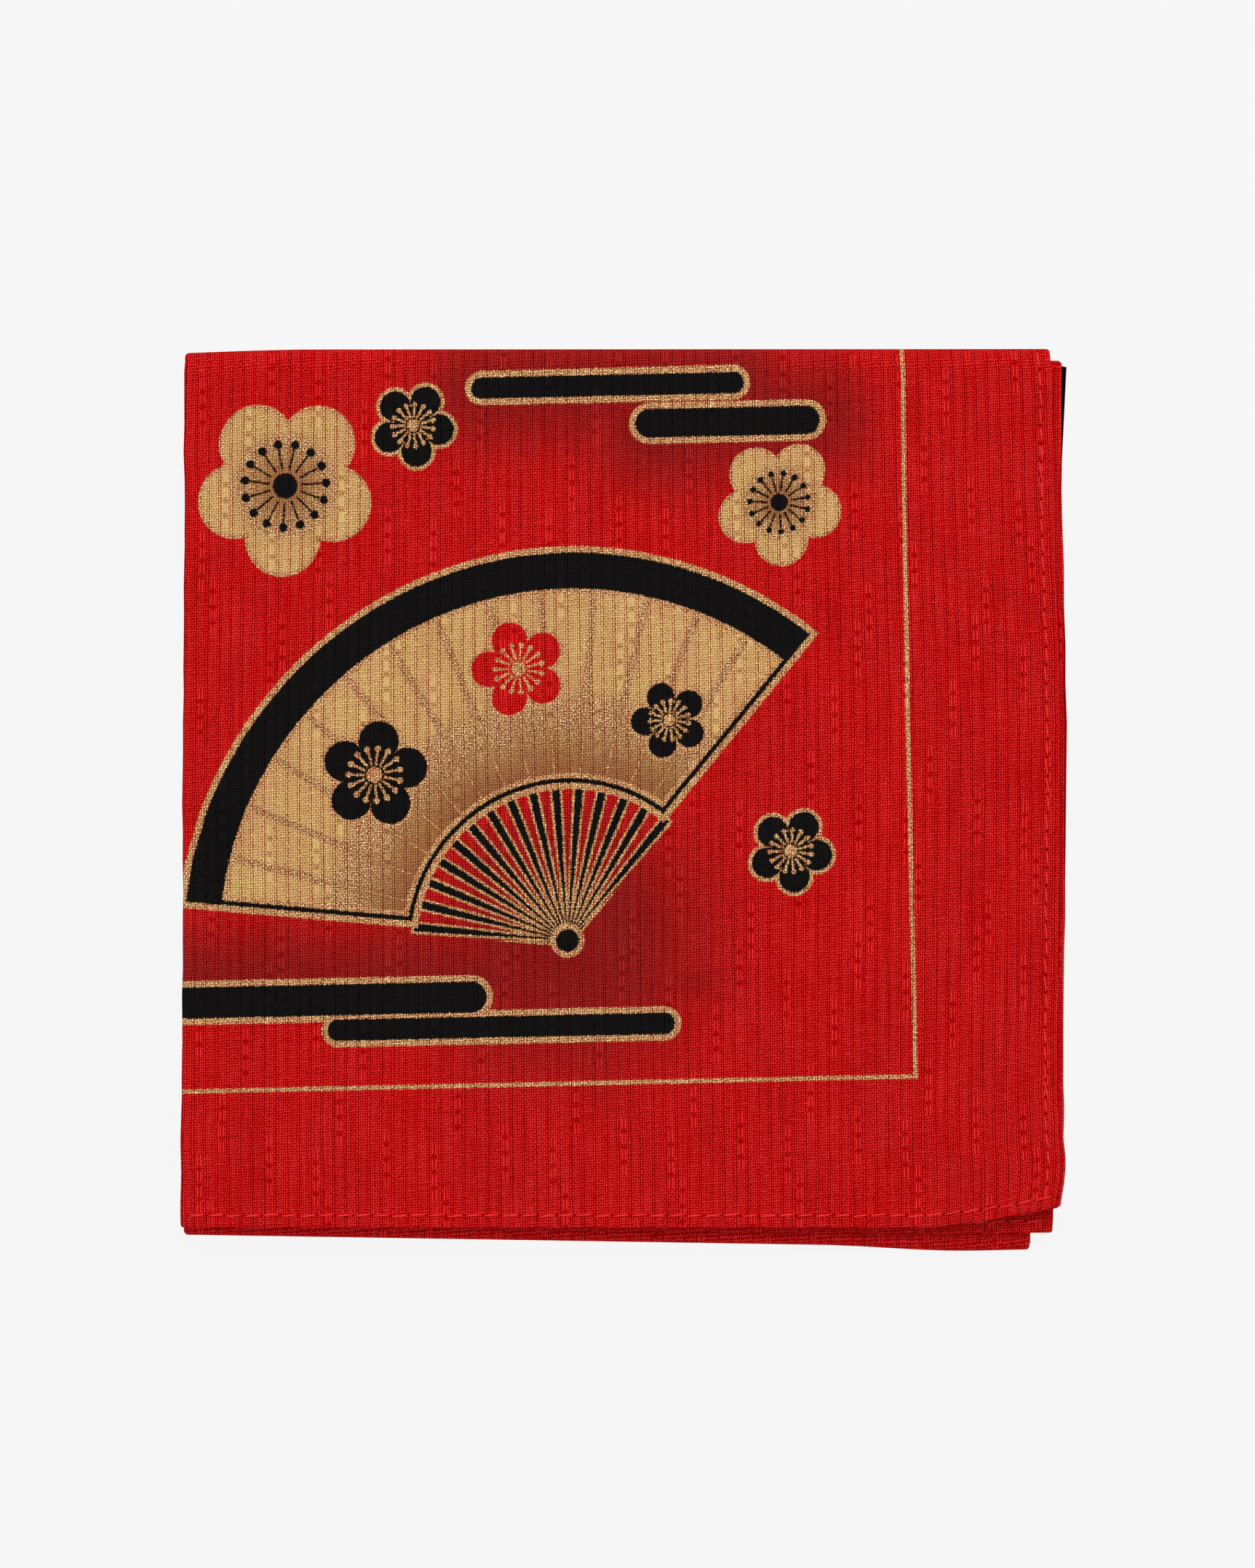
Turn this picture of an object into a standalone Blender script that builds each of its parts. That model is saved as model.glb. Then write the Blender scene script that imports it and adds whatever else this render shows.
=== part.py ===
"""A furoshiki: one hemmed square of cotton, folded in half twice each way into a flat packet.

The square is first halved twice across, which leaves a strip of four plies pressed flat. The
strip is then halved twice along its length, so it runs back and forth four times: front layer,
head fold, back layer, foot fold, third layer, inner head fold, second layer. Here the pressed
strip is one slab, and its folds and layers are the packet's own. Seen from above, +X is right,
+Y is towards the head fold, and the packet rests on its back layer at z = 0.
"""
import math
from collections import namedtuple

import bmesh
import bpy

MM = 0.001

# Driving sizes, in metres.
CLOTH = 0.580              # side of the hemmed square
PLY = 0.00034              # one thickness of the cotton
PLY_AIR = 0.00003          # air left between two pressed plies
PLIES = 4                  # plies in the strip
LAYER_GAP = 0.0003         # air between two layers of the strip
HEM = 0.0022               # from an open edge to its stitches

WIDTH = CLOTH / PLIES
STRIP_THICK = PLIES * PLY + (PLIES - 1) * PLY_AIR
PITCH = STRIP_THICK + LAYER_GAP

# The strip's folds in their order from the front. end is +1 at the head and -1 at the foot, and
# turn is +1 where the strip's printed face is on the outside of the fold.
Fold = namedtuple("Fold", "name end radius turn cells")
FOLDS = (
    Fold("outer head fold", +1, 1.5 * PITCH, +1, 9),
    Fold("foot fold", -1, 0.5 * PITCH, +1, 6),
    Fold("inner head fold", +1, 0.5 * PITCH, -1, 6),
)
RUN = (CLOTH - sum(math.pi * fold.radius for fold in FOLDS)) / (len(FOLDS) + 1)

# The strip's layers in the same order. step counts up from the surface. The next four columns
# say how far each corner has slipped off the square packet, right and up, in millimetres.
# curl is the share of the lifted hem corner that the layer takes.
Layer = namedtuple("Layer", "name step head_left head_right foot_right foot_left curl")
LAYERS = (
    Layer("front", 3, (0.1, 0.0), (-2.3, 0.1), (-0.7, 0.3), (-0.3, 0.3), 1.0),
    Layer("back", 0, (0.2, 0.0), (-2.2, 0.0), (-5.7, -1.6), (0.3, 0.6), 0.0),
    Layer("third", 1, (0.3, 0.0), (0.3, -1.1), (-5.7, -1.6), (0.3, 0.6), 0.0),
    Layer("second", 2, (0.2, 0.0), (0.0, 0.0), (0.2, 0.4), (0.2, 0.3), 0.9),
)
# The second layer's lower plies, whose square hem corner shows under the lifted one.
SECOND_BELOW = Layer("below", 2, (0.2, 0.0), (0.0, 0.0), (-2.1, -0.7), (0.2, 0.3), 0.1)

# What the corners do beyond that. across and up are 0 or 1 at the packet's corners. The reach
# is how far along X and Y the pull is felt, and slip and lift are its size at the corner.
Pull = namedtuple("Pull", "name across up reach_x reach_y slip_x slip_y lift curled")
PULLS = (
    Pull("hem corner drawn up", 1, 0, 22.0, 60.0, 0.0, 3.0, 1.5, True),
    Pull("hem corner drawn in", 1, 0, 12.0, 8.0, -0.8, 0.0, 0.0, True),
    Pull("folded corner drawn down", 0, 1, 20.0, 30.0, 0.2, -0.7, 0.0, False),
)
PULL_CURVE = 1.3           # how softly a pull dies away

SWAY = 0.3 * MM            # the open edges of the upper layers wander by this much
SWAY_WAVE = 93.0 * MM
SWAY_CREST = 74.0 * MM     # up from the foot
HEM_SWELL = 0.16           # the packet is this much thicker where the hems lie on each other
HEM_SWELL_REACH = 26.0 * MM
UNEVEN = 0.02              # and this much thicker and thinner in between
UNEVEN_WAVES = (71.0 * MM, 88.0 * MM)

# Cells of the flat slab, as spans of a length and a number of cells.
CORNER_SPAN = 22.0 * MM
RUN_SPANS = ((HEM, 1), (CORNER_SPAN, 5), (RUN - HEM - CORNER_SPAN, 6))
EDGE_RADIUS = STRIP_THICK / 2
EDGE_ANGLES = (20.0, 45.0, 90.0)   # columns round the strip's folded left edge
ACROSS_SPANS = ((WIDTH - EDGE_RADIUS - CORNER_SPAN - HEM, 9), (CORNER_SPAN, 6), (HEM, 1))

RED = (0.51, 0.008, 0.009, 1.0)


def stations(spans, start):
    """Cumulative places from spans of (length, cells), without the start itself."""
    places = []
    for length, cells in spans:
        places += [start + length * cell / cells for cell in range(1, cells + 1)]
        start += length
    return places


def strip_stations():
    """Places along the strip, from the front layer's hem to the second layer's hem."""
    places = [0.0]
    upward = True
    for index in range(len(LAYERS)):
        spans = RUN_SPANS if upward else RUN_SPANS[::-1]
        places += stations(spans, places[-1])
        if index < len(FOLDS):
            fold = FOLDS[index]
            places += stations([(math.pi * fold.radius, fold.cells)], places[-1])
        upward = not upward
    return places


def column_stations():
    """Places across the strip and the share of its thickness there, from the left edge."""
    columns = []
    for angle in EDGE_ANGLES:
        turn = math.radians(angle)
        columns.append((EDGE_RADIUS * (1 - math.cos(turn)), math.sin(turn)))
    for place in stations(ACROSS_SPANS, EDGE_RADIUS):
        columns.append((place, 1.0))
    return columns


def fold_strip(along, offset):
    """Y, height and layer number of a point of the strip, offset from its middle surface."""
    up = 1
    for index, layer in enumerate(LAYERS):
        height = layer.step * PITCH + STRIP_THICK / 2
        if along <= RUN or index == len(FOLDS):
            return up * (along - RUN / 2), height + up * offset, index
        along -= RUN
        fold = FOLDS[index]
        if along <= math.pi * fold.radius:
            angle = along / fold.radius
            middle = (height + LAYERS[index + 1].step * PITCH + STRIP_THICK / 2) / 2
            falling = 1 if height > middle else -1
            radius = fold.radius + fold.turn * offset
            y = fold.end * (RUN / 2 + radius * math.sin(angle))
            return y, middle + falling * radius * math.cos(angle), index + angle / math.pi
        along -= math.pi * fold.radius
        up = -up


def corner_blend(layer, across, up):
    """How far a layer's point has slipped: its four corners' slips, blended."""
    slips = []
    for axis in (0, 1):
        head = layer.head_left[axis] * (1 - across) + layer.head_right[axis] * across
        foot = layer.foot_left[axis] * (1 - across) + layer.foot_right[axis] * across
        slips.append((foot * (1 - up) + head * up) * MM)
    return slips


def layer_row(index, offset):
    """The row of LAYERS for a layer number, or the second layer's lower plies."""
    if LAYERS[index].name == "second" and offset > 0:
        return SECOND_BELOW
    return LAYERS[index]


def pull_share(pull, x, y):
    """How much of a corner's pull is felt at x, y."""
    away_x = abs(x - (pull.across - 0.5) * WIDTH) / (pull.reach_x * MM)
    away_y = abs(y - (pull.up - 0.5) * RUN) / (pull.reach_y * MM)
    return (max(0.0, 1 - away_x) * max(0.0, 1 - away_y)) ** PULL_CURVE


def swell(x, y):
    """The packet's thickness at x, y as a share of its plain thickness."""
    to_hem = max(0.0, 1 - (WIDTH / 2 - x) / HEM_SWELL_REACH)
    waves = math.sin(2 * math.pi * x / UNEVEN_WAVES[0]) * math.cos(2 * math.pi * y / UNEVEN_WAVES[1])
    return 1 + HEM_SWELL * to_hem * to_hem + UNEVEN * waves


def lie(x, y, z, number, offset):
    """Where a point of the square packet lies in the real one."""
    across = x / WIDTH + 0.5
    up = y / RUN + 0.5
    lower = min(int(number), len(LAYERS) - 2)
    share = number - lower
    rows = (layer_row(lower, offset), layer_row(lower + 1, offset))
    slips = [corner_blend(row, across, up) for row in rows]
    right, rise = [before * (1 - share) + after * share for before, after in zip(*slips)]
    curl = rows[0].curl * (1 - share) + rows[1].curl * share
    right += SWAY * curl * across ** 2 * math.cos(2 * math.pi * (up * RUN - SWAY_CREST) / SWAY_WAVE)
    lift = 0.0
    for pull in PULLS:
        felt = pull_share(pull, x, y) * (curl if pull.curled else 1.0)
        right += pull.slip_x * MM * felt
        rise += pull.slip_y * MM * felt
        lift += pull.lift * MM * felt
    return x + right, y + rise, z * swell(x + right, y + rise) + lift


def flat_slab(columns, rows):
    """A flat closed slab, one unit thick, with a cell between each two columns and rows."""
    slab = bmesh.new()
    bmesh.ops.create_grid(slab, x_segments=columns - 1, y_segments=rows - 1, size=0.5)
    bmesh.ops.solidify(slab, geom=slab.verts[:] + slab.edges[:] + slab.faces[:], thickness=1.0)
    bmesh.ops.recalc_face_normals(slab, faces=slab.faces[:])
    return slab


def fold_cloth():
    """The folded strip's mesh, over the middle of its own outline."""
    columns = column_stations()
    rows = strip_stations()
    slab = flat_slab(len(columns), len(rows))
    middle = sum(vert.co.z for vert in slab.verts) / len(slab.verts)
    for vert in slab.verts:
        place, plump = columns[round((vert.co.x + 0.5) * (len(columns) - 1))]
        along = rows[round((vert.co.y + 0.5) * (len(rows) - 1))]
        offset = math.copysign(STRIP_THICK / 2 * plump, vert.co.z - middle)
        y, z, number = fold_strip(along, offset)
        vert.co = lie(place - WIDTH / 2, y, z, number, offset)
    for axis in (0, 1):
        reach = [vert.co[axis] for vert in slab.verts]
        centre = (min(reach) + max(reach)) / 2
        for vert in slab.verts:
            vert.co[axis] -= centre
    mesh = bpy.data.meshes.new("cloth")
    slab.to_mesh(mesh)
    slab.free()
    return mesh


def red_cotton():
    """Plain-woven red cotton."""
    material = bpy.data.materials.new("red_cotton")
    material.use_nodes = True
    shader = material.node_tree.nodes["Principled BSDF"]
    shader.inputs["Base Color"].default_value = RED
    shader.inputs["Roughness"].default_value = 0.9
    shader.inputs["Metallic"].default_value = 0.0
    return material


def build():
    """The packet, in its own collection."""
    for thing in list(bpy.data.objects):
        bpy.data.objects.remove(thing)
    collection = bpy.data.collections.new("furoshiki_wrap")
    bpy.context.scene.collection.children.link(collection)
    mesh = fold_cloth()
    mesh.materials.append(red_cotton())
    mesh.shade_smooth()
    mesh.set_sharp_from_angle(angle=math.radians(40))
    cloth = bpy.data.objects.new("cloth", mesh)
    collection.objects.link(cloth)


build()
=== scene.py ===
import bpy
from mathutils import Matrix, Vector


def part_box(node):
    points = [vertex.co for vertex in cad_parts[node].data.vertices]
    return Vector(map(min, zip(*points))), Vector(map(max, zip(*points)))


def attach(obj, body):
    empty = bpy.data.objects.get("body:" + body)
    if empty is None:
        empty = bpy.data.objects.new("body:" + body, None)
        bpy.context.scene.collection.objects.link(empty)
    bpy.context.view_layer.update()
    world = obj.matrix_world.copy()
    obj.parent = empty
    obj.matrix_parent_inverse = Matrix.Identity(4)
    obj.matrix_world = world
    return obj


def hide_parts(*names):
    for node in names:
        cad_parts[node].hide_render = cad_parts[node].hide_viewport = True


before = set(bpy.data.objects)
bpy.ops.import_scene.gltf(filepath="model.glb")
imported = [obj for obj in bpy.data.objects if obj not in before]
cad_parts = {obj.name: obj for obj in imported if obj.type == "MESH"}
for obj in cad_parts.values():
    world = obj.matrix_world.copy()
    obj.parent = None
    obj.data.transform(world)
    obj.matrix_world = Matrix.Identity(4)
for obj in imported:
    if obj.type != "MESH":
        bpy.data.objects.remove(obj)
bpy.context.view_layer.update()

import math
from collections import namedtuple

import bmesh
import bpy

# ---------------------------------------------------------------------------------------------
# The cloth: one square of plain-woven cotton, 580 mm on a side, with a narrow turned hem on all
# four sides. It is halved twice across and then twice along, printed face out, and pressed, so
# that sixteen plies lie on each other as one continuous sheet.
MM = 0.001
TURN = 2 * math.pi
CLOTH = 580 * MM
PLY = 0.34 * MM
PLY_AIR = 0.03 * MM
LAYER_GAP = 0.3 * MM
HEM = 2.0 * MM

# A sheet halved twice runs back and forth four times. STEPS are the heights of its runs, from
# an open edge inwards. A fold's end is +1 at the far end from the open edges, and its turn is
# +1 where the printed face goes round the outside.
Fold = namedtuple("Fold", "end radius turn")
Pile = namedtuple("Pile", "pitch folds run")
STEPS = (3, 0, 1, 2)
MIDDLE_STEP = sum(STEPS) / len(STEPS)
FOLD_ENDS = (+1, -1, +1)
FOLD_TURNS = (+1, +1, -1)
STRIP_THICK = len(STEPS) * PLY + (len(STEPS) - 1) * PLY_AIR


def pile_of(pitch):
    """The folds of a sheet that is halved twice, with its runs a pitch apart."""
    climbs = [abs(after - before) for before, after in zip(STEPS, STEPS[1:])]
    folds = [
        Fold(end, climb / 2 * pitch, turn)
        for end, climb, turn in zip(FOLD_ENDS, climbs, FOLD_TURNS)
    ]
    run = (CLOTH - sum(math.pi * fold.radius for fold in folds)) / len(STEPS)
    return Pile(pitch, folds, run)


ACROSS = pile_of(PLY + PLY_AIR)
ALONG = pile_of(STRIP_THICK + LAYER_GAP)
WIDTH = CLOTH / 4
PILE_SHIFT = MIDDLE_STEP * ACROSS.pitch + PLY / 2 - (WIDTH - ACROSS.run) / 2


def halve_twice(along, offset, pile):
    """Place from the pile's middle, height, and run number of a point that lies offset."""
    facing = 1
    for index, step in enumerate(STEPS):
        height = (step - MIDDLE_STEP) * pile.pitch
        if along <= pile.run or index == len(pile.folds):
            return facing * (along - pile.run / 2), height + facing * offset, index
        along -= pile.run
        fold = pile.folds[index]
        if along <= math.pi * fold.radius:
            angle = along / fold.radius
            next_height = (STEPS[index + 1] - MIDDLE_STEP) * pile.pitch
            middle = (height + next_height) / 2
            falling = 1 if height > middle else -1
            radius = fold.radius + fold.turn * offset
            place = fold.end * (pile.run / 2 + radius * math.sin(angle))
            return place, middle + falling * radius * math.cos(angle), index + angle / math.pi
        along -= math.pi * fold.radius
        facing = -facing


# How far each layer's corners have slipped off the square packet, right and up, in millimetres,
# and its share of the lifted corner. fold_in and hem_in say how much further right its folded
# edge and its open hems lie there, at the head and at the foot. bow is how far its foot fold
# bows out. The second layer's lower plies lie apart from its upper ones.
CORNERS = "head_left head_right foot_right foot_left"
Layer = namedtuple("Layer", "name " + CORNERS + " curl fold_in hem_in bow")
LAYERS = (
    Layer("front", (0.1, 0.0), (-2.2, 0.1), (-0.6, 0.3), (-0.3, 0.3),
          1.0, (-0.9, -0.9), (0.0, 0.0), 0.0),
    Layer("back", (0.2, 0.0), (-2.2, 0.0), (-5.35, -1.6), (0.3, 0.6),
          0.0, (-0.4, -0.3), (-0.5, -0.4), 0.61),
    Layer("third", (0.3, 0.0), (0.42, 0.0), (-5.35, -1.6), (0.3, 0.6),
          0.0, (-0.17, -0.4), (-1.1, -0.1), 0.61),
    Layer("second", (0.2, 0.0), (0.12, 0.0), (0.2, 0.4), (0.2, 0.3),
          0.9, (-1.1, -0.25), (-0.9, -0.9), 0.0),
)
SECOND_BELOW = Layer("below", (0.2, 0.0), (0.0, 0.0), (-1.6, -0.93), (0.2, 0.3),
                     0.1, (-1.1, -0.4), (-0.6, 0.0), 0.0)
BOW_RIGHT = 58.8 * MM      # the bow's middle, right of the packet's, and how far it is felt
BOW_ACROSS = 22.0 * MM
BOW_UP = 25.0 * MM

# A pull at a corner of the packet: how far along X and Y it is felt, how far it slips and lifts
# the cloth, and whether only the layers that share the lifted corner follow it.
Pull = namedtuple("Pull", "name across up reach_x reach_y slip_x slip_y lift curled")
PULLS = (
    Pull("hem corner drawn up", 1, 0, 22.0, 60.0, 0.0, 3.35, 1.5, True),
    Pull("hem corner drawn in", 1, 0, 12.0, 8.0, -0.8, 0.0, 0.0, True),
    Pull("folded corner drawn down", 0, 1, 20.0, 30.0, 0.2, -0.7, 0.0, False),
)
PULL_CURVE = 1.3

# The side edges wander: heights up from the foot, and how far right they lie there, in
# millimetres. Each layer's edge also ripples, and its corners are worn round.
HEM_DRIFT = ((0, 0.0), (6, 0.18), (9, 0.25), (13, -0.13), (20, -0.12), (38, 0.08), (48, 0.25),
             (58, 0.58), (72, 0.78), (85, 0.95), (95, 0.83), (106, 0.55), (125, 0.36), (150, 0.38))
FOLD_DRIFT = ((0, 0.0), (12, 0.1), (30, 0.17), (47, 0.34), (64, 0.2), (85, 0.2), (100, 0.34),
              (119, 0.34), (132, 0.15), (150, 0.0))
RIPPLE = 0.06 * MM
RIPPLE_WAVES = (11.3 * MM, 29.0 * MM)
RIPPLE_PHASE = 2.1           # from one layer to the next
UPPER_PLIES = 0.7            # the upper plies of a strip ripple as this share of a layer on
CORNER_ROUND = 0.45 * MM
THIRD_FOLD_START = 0.1       # where the third layer's slips give way to the second's, and over
THIRD_FOLD_SPAN = 0.05       # how much of the fold between them
TUCK_FADE = 3                # powers of the place across: how fast a slip of the side edge,
DRIFT_FADE = 4               # the edge's wandering and its ripple fade towards the other side
RIPPLE_FADE = 3

# The packet is thicker towards its open hems, and a little uneven, as shares of its thickness.
HEM_SWELL = 0.16
HEM_SWELL_REACH = 26.0 * MM
UNEVEN = 0.02
UNEVEN_WAVES = (71.0 * MM, 88.0 * MM)


def smooth(share):
    """A soft step from 0 to 1."""
    share = min(1.0, max(0.0, share))
    return share * share * (3 - 2 * share)


def edge_drift(drift, from_foot):
    """How far right a side edge lies at a height up from the foot."""
    for (low, before), (high, after) in zip(drift, drift[1:]):
        if from_foot <= high * MM:
            break
    share = smooth((from_foot / MM - low) / (high - low))
    return (before * (1 - share) + after * share) * MM


def corner_blend(layer, across, up):
    """How far a layer's point has slipped: its four corners' slips, blended."""
    slips = []
    for axis in (0, 1):
        head = layer.head_left[axis] * (1 - across) + layer.head_right[axis] * across
        foot = layer.foot_left[axis] * (1 - across) + layer.foot_right[axis] * across
        slips.append((foot * (1 - up) + head * up) * MM)
    return slips


def layer_row(index, in_upper):
    """The row of LAYERS for a layer number, or the second layer's lower plies."""
    if LAYERS[index].name == "second" and in_upper:
        return SECOND_BELOW
    return LAYERS[index]


def pull_share(pull, x, y):
    """How much of a corner's pull is felt at x, y."""
    away_x = abs(x - (pull.across - 0.5) * WIDTH) / (pull.reach_x * MM)
    away_y = abs(y - (pull.up - 0.5) * ALONG.run) / (pull.reach_y * MM)
    return (max(0.0, 1 - away_x) * max(0.0, 1 - away_y)) ** PULL_CURVE


def swell(x, y):
    """The packet's thickness at x, y as a share of its plain thickness."""
    to_hem = max(0.0, 1 - (WIDTH / 2 - x) / HEM_SWELL_REACH)
    wave_x = math.sin(TURN * x / UNEVEN_WAVES[0])
    wave_y = math.cos(TURN * y / UNEVEN_WAVES[1])
    return 1 + HEM_SWELL * to_hem * to_hem + UNEVEN * wave_x * wave_y


def ripple(y, number):
    """The small unevenness of a layer's side edge."""
    waves = [math.sin(TURN * y / wave + RIPPLE_PHASE * number) for wave in RIPPLE_WAVES]
    return RIPPLE * sum(waves)


def round_corner(x, y, y_end):
    """A square corner of a layer that ends at y_end, worn round."""
    into_x = (abs(x) - WIDTH / 2) / CORNER_ROUND + 1
    into_y = (abs(y) - y_end) / CORNER_ROUND + 1
    if into_x <= 0 or into_y <= 0:
        return x, y
    round_x = into_x * math.sqrt(max(0.0, 1 - into_y * into_y / 2))
    round_y = into_y * math.sqrt(max(0.0, 1 - into_x * into_x / 2))
    x = math.copysign(WIDTH / 2 + (round_x - 1) * CORNER_ROUND, x)
    y = math.copysign(y_end + (round_y - 1) * CORNER_ROUND, y)
    return x, y


def y_end_of(y, number):
    """How far from the packet's middle a layer ends, at the head or at the foot."""
    # A run number halfway between two layers is the middle of the fold that joins them.
    head_fold, foot_fold, inner_fold = ALONG.folds
    if y > 0:
        fold = head_fold if number < 1.5 else inner_fold
    else:
        fold = foot_fold if 0.5 < number < 2.5 else None
    return ALONG.run / 2 + (fold.radius + STRIP_THICK / 2 if fold else 0.0)


def lie(x, y, z, number, in_upper):
    """Where a point of the square packet lies in the real one."""
    x, y = round_corner(x, y, y_end_of(y, number))
    across = x / WIDTH + 0.5
    up = y / ALONG.run + 0.5
    lower = min(int(number), len(LAYERS) - 2)
    share = number - lower
    if LAYERS[lower].name == "third":
        share = smooth((share - THIRD_FOLD_START) / THIRD_FOLD_SPAN)
    rows = (layer_row(lower, in_upper), layer_row(lower + 1, in_upper))
    slips = [corner_blend(row, across, up) for row in rows]
    right, rise = [before * (1 - share) + after * share for before, after in zip(*slips)]
    curl = rows[0].curl * (1 - share) + rows[1].curl * share
    tucks = []
    for row in rows:
        at_head, at_foot = row.hem_in if in_upper else row.fold_in
        tucks.append(at_foot * (1 - up) + at_head * up)
    tuck = (tucks[0] * (1 - share) + tucks[1] * share) * MM
    right += tuck * max(0.0, across) ** TUCK_FADE
    right += curl * max(0.0, across) ** DRIFT_FADE * edge_drift(HEM_DRIFT, up * ALONG.run)
    right += min(1.0, 1 - across) ** DRIFT_FADE * edge_drift(FOLD_DRIFT, up * ALONG.run)
    right += ripple(y, number + UPPER_PLIES * in_upper) * (2 * across - 1) ** RIPPLE_FADE
    bow = rows[0].bow * (1 - share) + rows[1].bow * share
    bow *= smooth(1 - abs(x - BOW_RIGHT) / BOW_ACROSS)
    rise -= bow * MM * smooth(1 - up * ALONG.run / BOW_UP)
    lift = 0.0
    for pull in PULLS:
        felt = pull_share(pull, x, y) * (curl if pull.curled else 1.0)
        right += pull.slip_x * MM * felt
        rise += pull.slip_y * MM * felt
        lift += pull.lift * MM * felt
    return x + right, y + rise, z * swell(x + right, y + rise) + lift


# The turned hem is thicker than the single cotton inside its stitches. Only the front ply has
# room to show it. A rise fades out over HEM_FADE.
HEM_RISE = 0.16 * MM
HEM_FADE = 0.8 * MM


def hem_rise(u, v):
    """How much the front ply's hem stands up at u, v of the flat cloth."""
    from_edge = min(CLOTH - u, v)
    return HEM_RISE * smooth((HEM + HEM_FADE - from_edge) / HEM_FADE)


def on_cloth(u, v, above):
    """Where a point of the flat cloth lies, above the middle of its thickness."""
    left, strip_height, ply = halve_twice(CLOTH - u, above, ACROSS)
    y, height, layer = halve_twice(v, strip_height, ALONG)
    z = height + MIDDLE_STEP * ALONG.pitch + STRIP_THICK / 2
    in_upper = halve_twice(CLOTH - u, 0.0, ACROSS)[1] > 0
    x, y, z = lie(PILE_SHIFT - left, y, z, layer, in_upper)
    if above > 0 and ply == 0 and layer == 0:
        z += hem_rise(u, v)
    return x, y, z


def stations(spans):
    """Places from 0 on, from spans of (length, cells)."""
    places = [0.0]
    for length, cells in spans:
        start = places[-1]
        places += [start + length * cell / cells for cell in range(1, cells + 1)]
    return places


# Cells of the flat cloth from an open edge inwards: the hem's, then those near it, in the rest of
# that run, in half of an inner run, in the last run and near its hem, and those of the folds. The
# run that shows has the finest.
RIM = 0.3 * MM
RIM_CELL = 0.1 * MM
HEM_SPANS = ((RIM_CELL, 1), (RIM - RIM_CELL, 1), (HEM - RIM, 2), (HEM_FADE, 3))
NEAR_HEM = 22 * MM
Cells = namedtuple("Cells", "near_hem run inner last_run near_last folds")
COLUMN_CELLS = Cells(14, 26, 12, 18, 14, (8, 8, 8))
ROW_CELLS = Cells(14, 26, 14, 18, 14, (14, 8, 20))


def run_spans(pile, cells):
    """Spans along the whole cloth: four runs with their cells, and the folds between."""
    rest = pile.run - HEM - HEM_FADE - NEAR_HEM
    spans = list(HEM_SPANS)
    spans += [(NEAR_HEM, cells.near_hem), (rest, cells.run)]
    for index, fold in enumerate(pile.folds):
        spans.append((math.pi * fold.radius, cells.folds[index]))
        if index < len(pile.folds) - 1:
            spans += [(pile.run / 2, cells.inner)] * 2
    spans += [(rest, cells.last_run), (NEAR_HEM, cells.near_last)]
    spans += HEM_SPANS[::-1]
    return spans


COLUMNS = stations(run_spans(ACROSS, COLUMN_CELLS))
ROWS = stations(run_spans(ALONG, ROW_CELLS))
RIM_PLUMP = ((0.05 * MM, 0.45), (0.15 * MM, 0.8))   # how near an open edge, and how plump


def plump(place):
    """Share of the cotton's thickness near an open edge, which is rounded."""
    from_edge = min(place, CLOTH - place)
    for reach, share in RIM_PLUMP:
        if from_edge < reach:
            return share
    return 1.0


def flat_slab(columns, rows):
    """A flat closed slab, one unit thick, with a cell between each two columns and rows."""
    slab = bmesh.new()
    bmesh.ops.create_grid(slab, x_segments=columns - 1, y_segments=rows - 1, size=0.5)
    bmesh.ops.solidify(slab, geom=slab.verts[:] + slab.edges[:] + slab.faces[:], thickness=1.0)
    bmesh.ops.recalc_face_normals(slab, faces=slab.faces[:])
    return slab


def fold_cloth():
    """The folded cloth's mesh, with the flat cloth's place in UVMap."""
    slab = flat_slab(len(COLUMNS), len(ROWS))
    flat = slab.loops.layers.uv.new("UVMap")
    middle = sum(vert.co.z for vert in slab.verts) / len(slab.verts)
    spots = {}
    for vert in slab.verts:
        u = CLOTH - COLUMNS[round((vert.co.x + 0.5) * (len(COLUMNS) - 1))]
        v = ROWS[round((vert.co.y + 0.5) * (len(ROWS) - 1))]
        front = vert.co.z > middle
        thick = PLY / 2 * min(plump(u), plump(v))
        spots[vert] = (u / CLOTH, v / CLOTH)
        vert.co = on_cloth(u, v, thick if front else -thick)
    for face in slab.faces:
        for loop in face.loops:
            loop[flat].uv = spots[loop.vert]
    bmesh.ops.recalc_face_normals(slab, faces=slab.faces[:])
    mesh = bpy.data.meshes.new("cloth_sheet")
    slab.to_mesh(mesh)
    slab.free()
    return mesh


# The packet's outline is centred on the frame's middle.
sheet_mesh = fold_cloth()
sheet_mesh.shade_smooth()
corners = [vert.co for vert in sheet_mesh.vertices]
centre = [(min(c[axis] for c in corners) + max(c[axis] for c in corners)) / 2 for axis in (0, 1)]
for vert in sheet_mesh.vertices:
    vert.co.x -= centre[0]
    vert.co.y -= centre[1]
cloth = bpy.data.objects.new("cloth_sheet", sheet_mesh)
bpy.context.collection.objects.link(cloth)
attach(cloth, "root")
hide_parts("cloth")

# ---------------------------------------------------------------------------------------------
# The cotton's finish: a plain weave of fine slubby threads with small dobby floats, dyed red, and
# printed on its face in black, tan and gold. It is worked out on the flat cloth, in UVMap, and
# its lengths are in millimetres.
cotton = bpy.data.materials.new("printed_cotton")
cotton.use_nodes = True
nodes = cotton.node_tree.nodes
links = cotton.node_tree.links


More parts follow.
